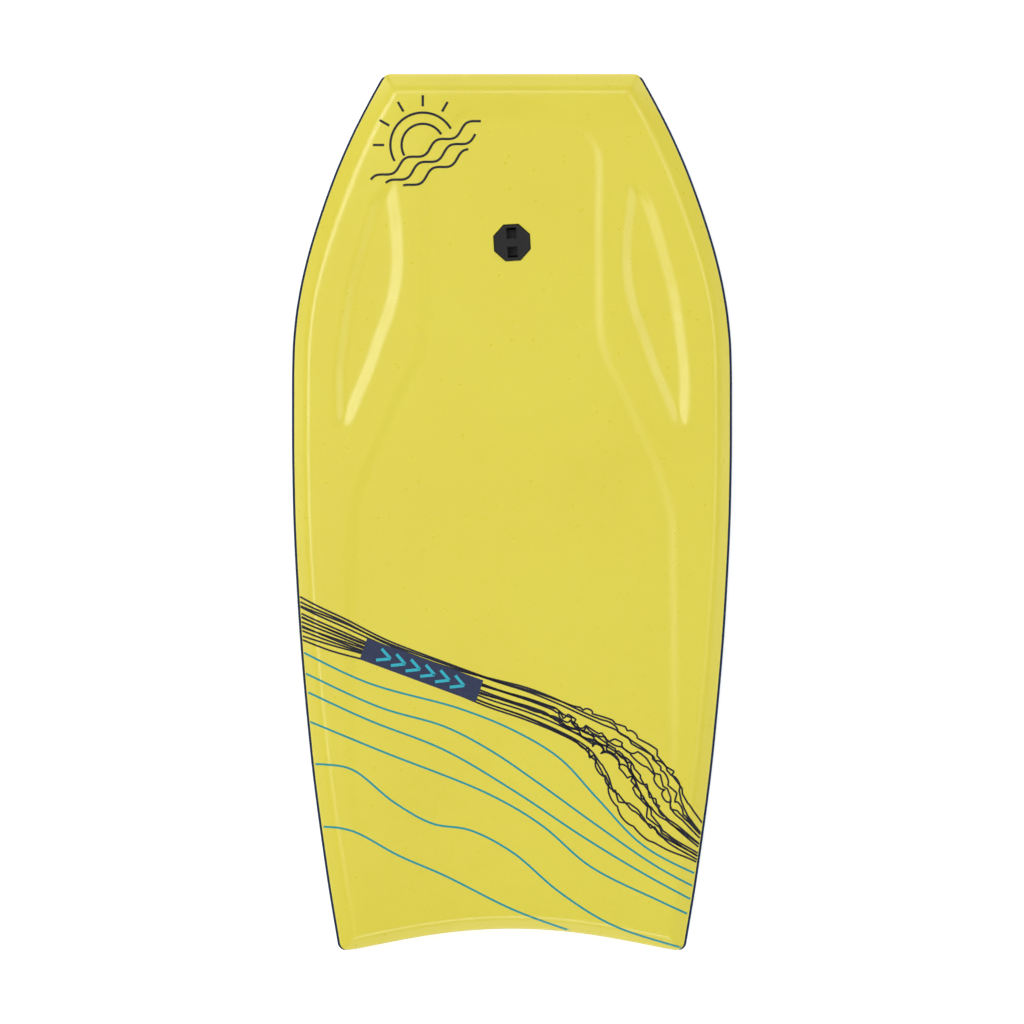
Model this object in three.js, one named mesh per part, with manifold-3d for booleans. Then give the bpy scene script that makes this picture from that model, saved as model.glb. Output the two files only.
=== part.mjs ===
// A foam bodyboard lying on its slick bottom, deck up. Millimetres, +Z up, nose toward +Y.
// Deck skin, core, net and slick are laminated between two rails and two end bumpers.
// A leash plug is clamped through the board by a coin screw from below.

import * as THREE from 'three';
import { ParametricGeometry } from 'three/addons/geometries/ParametricGeometry.js';
import { mergeGeometries, mergeVertices } from 'three/addons/utils/BufferGeometryUtils.js';
import Module from 'manifold-3d';

// ---- Overall sizes ----
const LENGTH = 1041;
const WIDTH = 523;
const DECK_HEIGHT = 58.8; // deck above the floor where the bottom is flat
const NOSE_RISE = 0.757 * DECK_HEIGHT; // bottom edge of the nose above the floor
const NOSE_LIFT = 0.2925 * DECK_HEIGHT; // how much higher the deck is at the nose
const TAIL_RISE = 0.0714 * DECK_HEIGHT;
const TAIL_DROP = 0.0561 * DECK_HEIGHT;
const SEAM_HEIGHT = 0.7245 * DECK_HEIGHT; // deck skin's edge above the floor, aft of the middle
const SEAM_LIFT = 0.2211 * DECK_HEIGHT; // how much higher that edge is at the nose
const CRESCENT_DEPTH = 25.5;
const CRESCENT_HALF = 196 / 523; // half-span of the tail crescent, as a share of the width
const CRESCENT_POWER = 1.25; // over 1: the crescent eases into the tail's corners

// ---- Foam layers ----
const GAP = 0.3; // clearance between touching pieces
const SKIN = 6; // deck skin thickness
const SKIN_RIM = 8; // width of the skin's rim, standing on the rails and bumpers
const RAIL_LIP = 2.4; // how far a rail stands out past the skin
const RAIL_SHOULDER = 0.7 * RAIL_LIP; // where a rail's level top ends, in from its edge
const INNER_SIDE = RAIL_LIP + SKIN_RIM; // rail's inner face, in from its edge
const END_LIP = 0.5; // how far a bumper stands out past the skin
const RAIL_LEAN = 0.367; // how far a rail leans in toward the slick, as a share of its height
const SLICK = 1.5;
const NET = 0.6;
const NET_BACK = 2; // net's edge inside the rails
const SLICK_BACK = { nose: 3.9, tail: 3 }; // slick's edge behind the board's outline
const BEVEL = {
  side: 0.272 * DECK_HEIGHT,
  nose: 0.323 * DECK_HEIGHT,
  tail: 0.2126 * DECK_HEIGHT,
}; // width of the chine bevel on each edge
const BEVEL_SOFT = 0.16; // rounding of the bevel's crest, as a share of its width
const CORE_STEP = 1.1; // core below the skin's underside, so that slopes keep the gap
const NOSE_CORNER = 8; // plan rounding of the four corners
const TAIL_CORNER = 8;
const NOSE_ROUND = 1.6; // rounding of the nose bumper's lower edge
const TAIL_ROUND = 3; // and of the tail bumper's
const LAP = 1; // how far two joined shapes run into each other

// ---- Shallow forms pressed into the deck ----
const CENTRE_DEPTH = 1.4;
const WELL_DEPTH = 3.2;
const CENTRE_SOFT = 7; // half-width of the centre recess's soft edge
const WELL_SOFT = 8;
// Where the centre recess fades out at each end, and over how much each way, as stations.
const RECESS_NOSE = { at: 0.925, soft: 0.03 };
const RECESS_TAIL = { at: -0.62, soft: 0.3 };

// ---- Leash plug ----
const PLUG_STATION = 0.615; // along the half-length, toward the nose
const PLUG_FLATS = 43.5; // octagonal flange across its flats
const PLUG_FLANGE = 4;
const PLUG_PROUD = 1.3; // flange top above the deck
const PLUG_BEVEL = 1.3;
const PLUG_TURN = 3.5; // degrees the octagon is turned from square
const STEM_R = 0.4667 * PLUG_FLATS;
const STEM_DEPTH = 19; // stem below the flange's top
const BARREL_R = 0.276 * PLUG_FLATS;
const BARREL_RISE = 11; // barrel's end above the slick's underside at the plug
const STUD_R = 0.184 * PLUG_FLATS;
const STUD_CLEAR = 0.4;
const STUD_ROOM = 9.5; // free bore beyond the stud's end
const BORE_ROOF = 3; // material between the bore's end and the leash channel
const CHANNEL_WIDE = 0.276 * PLUG_FLATS;
const CHANNEL_HALF = 0.407 * PLUG_FLATS; // half the leash channel's length
const CHANNEL_DEPTH = 15;
const CHANNEL_ROUND = 5;
const CHANNEL_PARTS = 4; // flats in the channel's rounding
const CUT_OVER = 2; // how far a cut starts above the face it opens
const BAR_HALF = 0.109 * PLUG_FLATS; // half the leash bar's width
const BAR_THICK = 5.5;
const WASHER_R = 0.4713 * PLUG_FLATS;
const WASHER = 1.2;
const WASHER_EDGE = 0.4; // bevel of the washer's outer edge
const DISC_R = 0.4276 * PLUG_FLATS;
const DISC = 2.8;
const DISC_DOME = 0.9;
const DISC_FACE_R = 0.72 * DISC_R; // the disc is flatter inside this radius
const DISC_FACE_DOME = 0.2 * DISC_DOME;
const SLOT_R = 0.86 * DISC_R; // centre-line radius of the curved coin slot
const SLOT_HALF_WIDE = 1.7;
const SLOT_DEPTH = 1.4;
const SLOT_SPAN = 1.24; // radians
const SLOT_TURN = 0.75;
const SLOT_PARTS = 8;
const SEAT_HALF = WASHER_R + 1.5; // the slick is level this far each way from the screw
const SEAT_STEP = 13; // spacing of the grid lines over the dimple beyond it
const DIMPLE_DEPTH = 3; // slick drawn in round the screw
const DIMPLE_IN = SEAT_HALF * Math.SQRT2;
const DIMPLE_OUT = SEAT_HALF + 2 * SEAT_STEP;
const ROUND_PARTS = 32;
const FLANGE_SIDES = 8;

const HALF = LENGTH / 2;
const PLUG_Y = PLUG_STATION * HALF;
const GRID_PASSES = 12; // rounds that settle a grid point on a curved row and column
const WELD = 1e-4; // points closer than this are one
const ZONE_HALF = [SEAT_HALF, SEAT_HALF + SEAT_STEP, DIMPLE_OUT];
// Grid lines round the plug, both ways.
const PLUG_ZONE = [...ZONE_HALF.map((d) => -d).reverse(), 0, ...ZONE_HALF];

// Half-width along the board: station from tail (-1) to nose (1), share of the half width.
const PLAN = [
  [-1, 0.787], [-0.82, 0.8455], [-0.54, 0.9185], [-0.2, 0.9755], [0.03, 0.996], [0.18, 1],
  [0.29, 1], [0.37, 0.997], [0.438, 0.986], [0.506, 0.965], [0.575, 0.934], [0.643, 0.895],
  [0.76, 0.814], [0.85, 0.738], [0.916, 0.673], [0.9875, 0.5955], [1, 0.581],
];
// Rocker of the bottom: station, share of the nose rise.
const ROCKER = [
  [-0.2, 0], [0.08, 0], [0.22, 0.045], [0.39, 0.1], [0.51, 0.155], [0.615, 0.222],
  [0.69, 0.29], [0.755, 0.365], [0.81, 0.47], [0.895, 0.69], [0.95, 0.83], [1, 1],
];
const TAIL_ROCKER = [[-1, 1], [-0.92, 0.62], [-0.84, 0.28], [-0.76, 0]];
// Deck line: station, share of the nose lift.
const DECK_LIFT = [
  [-0.63, 0], [-0.2, 0.03], [0.05, 0.09], [0.22, 0.19], [0.46, 0.33], [0.59, 0.45],
  [0.72, 0.57], [0.8, 0.65], [0.88, 0.73], [0.94, 0.93], [0.975, 1], [1, 0.98],
];
const DECK_TAIL = [[-1, 1], [-0.965, 0.7], [-0.92, 0.32], [-0.86, 0.06], [-0.8, 0]];
const SEAM = [
  [-0.8, 0], [-0.2, 0.045], [-0.03, 0.1], [0.26, 0.28], [0.36, 0.35], [0.49, 0.515],
  [0.615, 0.66], [0.72, 0.82], [0.8, 0.945], [0.935, 1.04], [1, 0.98],
];
// Outline of the centre recess: station, share of the half width.
const CENTRE_LINE = [
  [-1, 0.63], [-0.8, 0.7], [-0.54, 0.765], [-0.04, 0.757], [0.087, 0.696], [0.175, 0.62],
  [0.28, 0.53], [0.35, 0.459], [0.436, 0.424], [0.68, 0.42], [0.77, 0.424], [0.815, 0.42],
  [0.857, 0.377], [0.895, 0.287], [0.947, 0.176],
];
// Elbow wells: inner and outer edge, each as station, share of the half width.
const WELL_INNER = [
  [0.188, 0.772], [0.204, 0.73], [0.269, 0.67], [0.335, 0.615], [0.392, 0.577], [0.435, 0.545],
  [0.475, 0.519], [0.52, 0.5], [0.576, 0.49], [0.64, 0.495], [0.7, 0.51], [0.767, 0.53],
];
const WELL_OUTER = [
  [0.188, 0.772], [0.209, 0.807], [0.298, 0.8145], [0.4, 0.795], [0.507, 0.761], [0.576, 0.725],
  [0.66, 0.677], [0.711, 0.642], [0.767, 0.55],
];

// Grid lines. Side, nose and tail lines are distances from the edge; stations are shares.
const EDGE_LINES = [0, 2, 5, 9, 13, 17];
const INNER_LINES = [0, 2, 5, 9, 13];
const PLAIN_LINES = [0];
const NOSE_LINES = [21, 17, 13, 9, 5, 2, 0];
const TAIL_LINES = [0, 2, 5, 9, 13];
const SHEET_TAIL = [0, 9];
const SHEET_NOSE = [9, 0];
const BUMPER_LINES = [0, 1, TAIL_ROUND, SKIN_RIM + END_LIP];
const RAIL_TAIL = [GAP, 1.5, 4, TAIL_CORNER, 22];
const RAIL_NOSE = [9, 4, 0];
const REAR_STATIONS = [-0.87, -0.82, -0.76, -0.65, -0.52, -0.38, -0.2, -0.1, 0];
const REAR_PLAIN = [-0.87, -0.76, -0.6, -0.4, -0.2, -0.05];
const MID_FINE = [0.08, 0.12, 0.16, 0.2, 0.24, 0.28, 0.32, 0.36, 0.4, 0.44, 0.48];
const MID_PLAIN = [0.08, 0.25, 0.38, 0.48];
const FRONT_STATIONS = [0.735, 0.765, 0.8, 0.84, 0.875, 0.91, 0.94];
const FRONT_PLAIN = [0.75, 0.8, 0.84, 0.875, 0.91, 0.94];
const RAIL_STATIONS = [
  -0.87, -0.76, -0.6, -0.4, -0.2, -0.05, 0.08, 0.175, 0.25, 0.315, 0.38, 0.43, 0.48, 0.53, 0.58,
  0.62, 0.66, 0.71, 0.75, 0.8, 0.84, 0.875, 0.91, 0.94,
];
const FINE_COLUMNS = 13;
const PLAIN_COLUMNS = 5;

// ---- Curves ----

// Smooth value along a line of [station, value] points, flat between equal values.
function along(points, s) {
  const last = points.length - 1;
  if (s <= points[0][0]) {
    return points[0][1];
  }
  if (s >= points[last][0]) {
    return points[last][1];
  }
  let i = 0;
  while (s > points[i + 1][0]) {
    i += 1;
  }
  const step = points[i + 1][0] - points[i][0];
  const rise = (k) => (points[k + 1][1] - points[k][1]) / (points[k + 1][0] - points[k][0]);
  const slope = (k) => {
    if (k === 0) {
      return rise(0);
    }
    if (k === last) {
      return rise(last - 1);
    }
    const before = rise(k - 1);
    const after = rise(k);
    return before * after <= 0 ? 0 : (2 * before * after) / (before + after);
  };
  const t = (s - points[i][0]) / step;
  const bulge = slope(i) * step * t * (1 - t) * (1 - t) - slope(i + 1) * step * t * t * (1 - t);
  return THREE.MathUtils.lerp(points[i][1], points[i + 1][1], t * t * (3 - 2 * t)) + bulge;
}

function softStep(value, middle, half) {
  return THREE.MathUtils.smoothstep(value, middle - half, middle + half);
}

const sideX = (y) => (WIDTH / 2) * along(PLAN, y / HALF);

function cornerCut(distance, radius) {
  if (distance >= radius) {
    return 0;
  }
  const out = radius - Math.max(distance, 0);
  return radius - Math.sqrt(radius * radius - out * out);
}

// Outermost half-width, with the plan corners rounded.
function edgeX(y) {
  const nose = cornerCut(HALF - y, NOSE_CORNER);
  const tail = cornerCut(y + HALF, TAIL_CORNER);
  return sideX(y) - nose - tail;
}

function tailY(x) {
  const t = Math.min(Math.abs(x) / (CRESCENT_HALF * WIDTH), 1);
  return -HALF + CRESCENT_DEPTH * Math.pow(1 - t * t, CRESCENT_POWER);
}

const rocker = (y) =>
  NOSE_RISE * along(ROCKER, y / HALF) + TAIL_RISE * along(TAIL_ROCKER, y / HALF);

const seamZ = (y) => SEAM_HEIGHT + SEAM_LIFT * along(SEAM, y / HALF);

const deckLine = (y) =>
  DECK_HEIGHT + NOSE_LIFT * along(DECK_LIFT, y / HALF) - TAIL_DROP * along(DECK_TAIL, y / HALF);

const taper = (y) => RAIL_LEAN * (seamZ(y) - rocker(y));

// Bottom surface, with the slick drawn in round the plug's screw.
function bottomZ(x, y) {
  const r = Math.hypot(x, y - PLUG_Y);
  const dimple = 1 - THREE.MathUtils.smoothstep(r, DIMPLE_IN, DIMPLE_OUT);
  return THREE.MathUtils.lerp(rocker(y), rocker(PLUG_Y) + DIMPLE_DEPTH, dimple);
}

// 0 at the board's edge and 1 on the flat deck. The step is where the bevel starts.
function bevel(x, y, step) {
  const side = (sideX(y) - RAIL_LIP - step - Math.abs(x)) / BEVEL.side;
  const nose = (HALF - END_LIP - step - y) / BEVEL.nose;
  const tail = (y - tailY(x) - END_LIP - step) / BEVEL.tail;
  return Math.min(side, nose, tail);
}

// Straight bevel that rounds over into the flat.
function crest(q) {
  if (q <= 1 - BEVEL_SOFT) {
    return Math.max(q, 0);
  }
  if (q >= 1 + BEVEL_SOFT) {
    return 1;
  }
  const t = q - 1 - BEVEL_SOFT;
  return 1 - (t * t) / (4 * BEVEL_SOFT);
}

// How far the centre recess and the elbow wells lower the deck.
function relief(x, y) {
  const s = y / HALF;
  const across = Math.abs(x);
  const centre = (WIDTH / 2) * along(CENTRE_LINE, s);
  const nose = 1 - softStep(s, RECESS_NOSE.at, RECESS_NOSE.soft);
  const tail = softStep(s, RECESS_TAIL.at, RECESS_TAIL.soft);
  const inside = 1 - softStep(across, centre - CENTRE_SOFT, CENTRE_SOFT);
  const inner = (WIDTH / 2) * along(WELL_INNER, s);
  const outer = (WIDTH / 2) * along(WELL_OUTER, s);
  const lens = softStep(across, inner + WELL_SOFT, WELL_SOFT);
  const rim = 1 - softStep(across, outer - WELL_SOFT, WELL_SOFT);
  const wellStart = WELL_INNER[0][0];
  const wellEnd = WELL_INNER[WELL_INNER.length - 1][0];
  const inWell = s > wellStart && s < wellEnd ? lens * rim : 0;
  return CENTRE_DEPTH * inside * nose * tail + WELL_DEPTH * inWell;
}

function deckZ(x, y) {
  const seam = seamZ(y) + GAP / 2;
  const flat = deckLine(y) - relief(x, y);
  return seam + (flat - seam) * crest(bevel(x, y, 0));
}

function skinUnderZ(x, y) {
  const seam = seamZ(y) + GAP / 2;
  const flat = deckLine(y) - SKIN;
  const shrink = (flat - seam) / (deckLine(y) - seam);
  return seam + (flat - seam) * crest(bevel(x, y, SKIN_RIM) / shrink);
}

// ---- Bodies from patches ----

// A rectangular patch of points; its outward side is (along i) x (along j).
function patch(columns, rows, pointAt) {
  const place = (u, v, target) =>
    target.copy(pointAt(Math.round(u * columns), Math.round(v * rows)));
  return new ParametricGeometry(place, columns, rows);
}

// Welds patches into one closed body and drops faces with no area.
function weld(patches) {
  const merged = mergeGeometries(patches);
  merged.deleteAttribute('normal');
  merged.deleteAttribute('uv');
  const geometry = mergeVertices(merged, WELD);
  const index = geometry.index.array;
  const kept = [];
  for (let i = 0; i < index.length; i += 3) {
    const [a, b, c] = [index[i], index[i + 1], index[i + 2]];
    if (a !== b && b !== c && c !== a) {
      kept.push(a, b, c);
    }
  }
  geometry.setIndex(kept);
  return geometry;
}

// Grid columns from left to right: plug lines, even lines, then edge lines.
function columnPlaces(even, edges) {
  const right = [];
  const zone = PLUG_ZONE.filter((x) => x > 0);
  const inner = edges[edges.length - 1];
  zone.forEach((x) => right.push(() => x));
  for (let k = 1; k < even; k += 1) {
    const start = zone[zone.length - 1];
    right.push((half) => THREE.MathUtils.lerp(start, half - inner, k / even));
  }
  [...edges].reverse().forEach((d) => right.push((half) => half - d));
  const left = [...right].reverse().map((place) => (half) => -place(half));
  return [...left, () => 0, ...right];
}

// Grid rows from tail to nose: tail lines follow the crescent, the rest are straight.
function rowPlaces(back, tailLines, stations, noseLines) {
  const rows = tailLines.map((d) => (x) => tailY(x) + back.tail + d);
  stations.forEach((y) => rows.push(() => y));
  noseLines.forEach((d) => rows.push(() => HALF - back.nose - d));
  return rows;
}

function stationList(rear, mid, front) {
  const share = (s) => s * HALF;
  const plug = PLUG_ZONE.map((d) => PLUG_Y + d);
  return [...rear.map(share), ...mid.map(share), ...plug, ...front.map(share)];
}

// Points of a grid whose outline is half(y) at the sides.
function lattice(half, columns, rows, height) {
  return rows.map((rowY) =>
    columns.map((columnX) => {
      let x = 0;
      let y = rowY(0);
      for (let pass = 0; pass < GRID_PASSES; pass += 1) {
        x = columnX(half(y));
        y = rowY(x);
      }
      return new THREE.Vector3(x, y, height(x, y));
    }));
}

// Closed body between a lower and an upper lattice of the same number of lines.
function slab(lower, upper) {
  const rows = lower.length - 1;
  const columns = lower[0].length - 1;
  const level = (j) => (j === 0 ? lower : upper);
  return weld([
    patch(columns, rows, (i, j) => upper[j][i]),
    patch(rows, columns, (i, j) => lower[i][j]),
    patch(rows, 1, (i, j) => level(j)[i][columns]),
    patch(rows, 1, (i, j) => level(1 - j)[i][0]),
    patch(1, columns, (i, j) => level(i)[rows][j]),
    patch(columns, 1, (i, j) => level(j)[0][i]),
  ]);
}

// Closed body through a list of loops, each the same number of points round the body.
function loft(loops) {
  const around = loops[0].length;
  const last = loops.length - 1;
  const middle = (loop) =>
    loop.reduce((sum, p) => sum.add(p), new THREE.Vector3()).divideScalar(loop.length);
  const start = middle(loops[0]);
  const end = middle(loops[last]);
  return weld([
    patch(around, last, (i, j) => loops[j][i % around]),
    patch(around, 1, (i, j) => (j === 0 ? start : loops[0][i % around])),
    patch(around, 1, (i, j) => (j === 1 ? end : loops[last][i % around])),
  ]);
}

// ---- Cuts and joins ----

const wasm = await Module();
wasm.setup();

function toManifold(geometry) {
  const bare = geometry.clone();
  bare.deleteAttribute('normal');
  bare.deleteAttribute('uv');
  const welded = mergeVertices(bare, WELD);
  const mesh = new wasm.Mesh({
    numProp: 3,
    vertProperties: new Float32Array(welded.attributes.position.array),
    triVerts: new Uint32Array(welded.index.array),
  });
  return new wasm.Manifold(mesh);
}

function fromManifold(solid) {
  const mesh = solid.getMesh();
  const geometry = new THREE.BufferGeometry();
  geometry.setAttribute('position', new THREE.BufferAttribute(mesh.vertProperties, 3));
  geometry.setIndex(new THREE.BufferAttribute(mesh.triVerts, 1));
  return geometry;
}

function cut(geometry, ...tools) {
  const solid = tools.reduce((rest, tool) => rest.subtract(toManifold(tool)), toManifold(geometry));
  return fromManifold(solid);
}

function join(first, second) {
  return fromManifold(toManifold(first).add(toManifold(second)));
}

// Upright round or many-sided solid on the plug's axis, from a profile of [radius, z].
function turned(profile, sides = ROUND_PARTS, turn = 0) {
  const points = profile.map(([r, z]) => new THREE.Vector2(r, z));
  const geometry = new THREE.LatheGeometry(points, sides);
  geometry.rotateX(Math.PI / 2);
  geometry.rotateZ(turn);
  geometry.translate(0, PLUG_Y, 0);
  return geometry;
}

const rod = (radius, low, high) => turned([[0, low], [radius, low], [radius, high], [0, high]]);

// ---- Foam pieces ----

const outerHalf = (y) => edgeX(y) - RAIL_LIP;
const endBack = (step) => ({ nose: END_LIP + step, tail: END_LIP + step });

function deckSkin() {
  const stations = stationList(REAR_STATIONS, MID_FINE, FRONT_STATIONS);
  const columns = columnPlaces(FINE_COLUMNS, EDGE_LINES);
  const rows = rowPlaces(endBack(0), TAIL_LINES, stations, NOSE_LINES);
  const top = lattice(outerHalf, columns, rows, deckZ);
  const rim = lattice(outerHalf, columns, rows, (x, y) => seamZ(y) + GAP / 2);
  return cut(slab(rim, top), skinHollow(), plugPocket());
}

// The room under the skin, for its rim and its underside.
function skinHollow() {
  const stations = stationList(REAR_PLAIN, MID_PLAIN, FRONT_PLAIN);
  const columns = columnPlaces(PLAIN_COLUMNS, INNER_LINES);
  const rows = rowPlaces(endBack(SKIN_RIM), TAIL_LINES, stations, NOSE_LINES);
  const half = (y) => sideX(y) - RAIL_LIP - SKIN_RIM;
  const top = lattice(half, columns, rows, skinUnderZ);
  const low = lattice(half, columns, rows, (x, y) => seamZ(y) - SKIN);
  return slab(low, top);
}

function core() {
  const stations = stationList(REAR_PLAIN, MID_PLAIN, FRONT_PLAIN);
  const columns = columnPlaces(PLAIN_COLUMNS, INNER_LINES);
  const rows = rowPlaces(endBack(SKIN_RIM + CORE_STEP), TAIL_LINES, stations, NOSE_LINES);
  const high = (y) => sideX(y) - INNER_SIDE - CORE_STEP;
  const low = (y) => high(y) - taper(y);
  const top = lattice(high, columns, rows, (x, y) => skinUnderZ(x, y) - CORE_STEP);
  const floor = SLICK + GAP + NET + GAP;
  const base = lattice(low, columns, rows, (x, y) => bottomZ(x, y) + floor);
  const stem = rod(STEM_R + GAP, PLUG.stemLow - GAP, PLUG.top);
  const barrel = rod(BARREL_R + GAP, 0, PLUG.top);
  return cut(slab(base, top), stem, barrel);
}

// A sheet that follows the bottom from one height above it to another.
function bottomSheet(half, back, low, high) {
  const stations = stationList(REAR_PLAIN, MID_PLAIN, FRONT_PLAIN);
  const columns = columnPlaces(PLAIN_COLUMNS, PLAIN_LINES);
  const rows = rowPlaces(back, SHEET_TAIL, stations, SHEET_NOSE);
  const base = lattice(half, columns, rows, (x, y) => bottomZ(x, y) + low);
  const top = lattice(half, columns, rows, (x, y) => bottomZ(x, y) + high);
  const hole = rod(STUD_R + STUD_CLEAR + GAP, 0, PLUG.stemLow);
  return cut(slab(base, top), hole);
}

function slickSkin() {
  return bottomSheet((y) => sideX(y) - taper(y), SLICK_BACK, 0, SLICK);
}

function bottomNet() {
  const half = (y) => sideX(y) - INNER_SIDE - NET_BACK - taper(y);
  const low = SLICK + GAP;
  return bottomSheet(half, endBack(SKIN_RIM + CORE_STEP), low, low + NET);
}

// Rail profile from its inner top round to its inner foot: [share of height, lean-in share].
const RAIL_FACE = [[0.03, 0.04], [0.09, 0], [0.35, 0.16], [0.68, 0.52], [1, 1]];

function railLoop(y, side) {
  const top = seamZ(y) - GAP / 2;
  const foot = rocker(y) + SLICK + GAP;
  const lean = taper(y);
  const edge = edgeX(y);
  const inner = sideX(y) - INNER_SIDE;
  const points = [[inner, top], [edge - RAIL_SHOULDER, top]];
  RAIL_FACE.forEach(([down, inward]) => {
    points.push([edge - lean * inward, THREE.MathUtils.lerp(top, foot, down)]);
  });
  points.push([inner - lean, foot]);
  const loop = points.map(([x, z]) => new THREE.Vector3(side * x, y, z));
  return side > 0 ? loop : loop.reverse();
}

function rail(side) {
  const end = HALF - SLICK_BACK.nose;
  const tailSteps = RAIL_TAIL.map((d) => d - HALF);
  const noseSteps = RAIL_NOSE.map((d) => end - d);
  const stations = [...tailSteps, ...RAIL_STATIONS.map((s) => s * HALF), ...noseSteps];
  return loft(stations.map((y) => railLoop(y, side)));
}

// The block between the rails' front ends, and the lip that closes them off.
function noseBumper() {
  const columns = columnPlaces(PLAIN_COLUMNS, PLAIN_LINES);
  const deep = SKIN_RIM + END_LIP;
  const top = (x, y) => seamZ(y) - GAP / 2;
  const foot = (x, y) => rocker(y) + SLICK + GAP;
  const inner = (lean) => (y) => sideX(y) - INNER_SIDE - GAP - lean * taper(y);
  const lipDepth = SLICK_BACK.nose - GAP;
  const blockRows = [() => HALF - deep, () => HALF - lipDepth + LAP];
  const block = slab(
    lattice(inner(1), columns, blockRows, foot),
    lattice(inner(0), columns, blockRows, top),
  );
  const lipRows = [lipDepth, lipDepth / 2, NOSE_ROUND / 4, 0].map((d) => () => HALF - d);
  const roll = (y) => cornerCut(HALF - y, NOSE_ROUND);
  const lip = slab(
    lattice((y) => edgeX(y) - taper(y), columns, lipRows, (x, y) => rocker(y) + roll(y)),
    lattice(edgeX, columns, lipRows, top),
  );
  return join(block, lip);
}

function tailBumper() {
  const columns = columnPlaces(PLAIN_COLUMNS, PLAIN_LINES);
  const rows = BUMPER_LINES.map((d) => (x) => tailY(x) + d);
  const inner = (lean) => (y) => sideX(y) - INNER_SIDE - GAP - lean * taper(y);
  const roll = (x, y) => cornerCut(y - tailY(x), TAIL_ROUND);
  const foot = (x, y) => rocker(y) + SLICK + GAP + roll(x, y);
  return slab(
    lattice(inner(1), columns, rows, foot),
    lattice(inner(0), columns, rows, (x, y) => seamZ(y) - GAP / 2),
  );
}

// ---- Leash plug ----

const plugTop = deckZ(0, PLUG_Y) + PLUG_PROUD;
const screwSeat = bottomZ(0, PLUG_Y);
const PLUG = {
  top: plugTop,
  flangeLow: plugTop - PLUG_FLANGE,
  stemLow: plugTop - STEM_DEPTH,
  boreTop: plugTop - CHANNEL_DEPTH - BORE_ROOF,
  barrelLow: screwSeat + BARREL_RISE,
  washerTop: screwSeat - GAP,
  discTop: screwSeat - GAP - WASHER - GAP,
};
const OCTAGON_R = PLUG_FLATS / 2 / Math.cos(Math.PI / FLANGE_SIDES);
const OCTAGON_TURN = Math.PI / FLANGE_SIDES + THREE.MathUtils.degToRad(PLUG_TURN);

function octagon(radius, low, high, bevelled) {
  const edge = bevelled
    ? [[radius, high - PLUG_BEVEL], [radius - PLUG_BEVEL, high]]
    : [[radius, high]];
  return turned([[0, low], [radius, low], ...edge, [0, high]], FLANGE_SIDES, OCTAGON_TURN);
}

// What the plug cap takes out of the deck skin.
function plugPocket() {
  const seat = octagon(OCTAGON_R + GAP, PLUG.flangeLow - GAP, PLUG.top + SKIN, false);
  const hole = rod(STEM_R + GAP, PLUG.stemLow - SKIN, PLUG.top + SKIN);
  return join(seat, hole);
}

// U-shaped channel that the leash cord runs through, round under the bar.
function leashChannel() {
  const high = CUT_OVER;
  const half = CHANNEL_HALF;
  const bend = CHANNEL_ROUND;
  const shape = new THREE.Shape();
  shape.moveTo(-half, high);
  shape.lineTo(-half, bend - CHANNEL_DEPTH);
  shape.quadraticCurveTo(-half, -CHANNEL_DEPTH, bend - half, -CHANNEL_DEPTH);
  shape.lineTo(half - bend, -CHANNEL_DEPTH);
  shape.quadraticCurveTo(half, -CHANNEL_DEPTH, half, bend - CHANNEL_DEPTH);
  shape.lineTo(half, high);
  shape.lineTo(BAR_HALF, high);
  shape.lineTo(BAR_HALF, -BAR_THICK);
  shape.lineTo(-BAR_HALF, -BAR_THICK);
  shape.lineTo(-BAR_HALF, high);
  shape.closePath();
  const options = { depth: CHANNEL_WIDE, bevelEnabled: false, curveSegments: CHANNEL_PARTS };
  const geometry = new THREE.ExtrudeGeometry(shape, options);
  geometry.translate(0, 0, -CHANNEL_WIDE / 2);
  geometry.rotateY(Math.PI / 2);
  geometry.rotateX(Math.PI / 2);
  geometry.rotateZ(THREE.MathUtils.degToRad(PLUG_TURN));
  geometry.translate(0, PLUG_Y, PLUG.top);
  return geometry;
}

function plugCap() {
  const flange = octagon(OCTAGON_R, PLUG.flangeLow, PLUG.top, true);
  const profile = [
    [0, PLUG.barrelLow], [BARREL_R, PLUG.barrelLow], [BARREL_R, PLUG.stemLow],
    [STEM_R, PLUG.stemLow], [STEM_R, PLUG.flangeLow + LAP], [0, PLUG.flangeLow + LAP],
  ];
  const bore = rod(STUD_R + STUD_CLEAR, PLUG.barrelLow - CUT_OVER, PLUG.boreTop);
  return cut(join(flange, turned(profile)), leashChannel(), bore);
}

// Curved coin slot, struck from a point out to one side.
function coinSlot(low) {
  const shape = new THREE.Shape();
  const from = -SLOT_SPAN / 2;
  const to = SLOT_SPAN / 2;
  shape.absarc(-SLOT_R, 0, SLOT_R + SLOT_HALF_WIDE, from, to, false);
  shape.absarc(-SLOT_R, 0, SLOT_R - SLOT_HALF_WIDE, to, from, true);
  shape.closePath();
  const options = { depth: SLOT_DEPTH * 2, bevelEnabled: false, curveSegments: SLOT_PARTS };
  const geometry = new THREE.ExtrudeGeometry(shape, options);
  geometry.rotateZ(SLOT_TURN);
  geometry.translate(0, PLUG_Y, low - SLOT_DEPTH);
  return geometry;
}

function plugScrew() {
  const low = PLUG.discTop - DISC;
  const profile = [
    [0, low], [DISC_FACE_R, low + DISC_FACE_DOME], [DISC_R, low + DISC_DOME],
    [DISC_R, PLUG.discTop], [STUD_R, PLUG.discTop], [STUD_R, PLUG.boreTop - STUD_ROOM],
    [0, PLUG.boreTop - STUD_ROOM],
  ];
  return cut(turned(profile), coinSlot(low));
}

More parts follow.
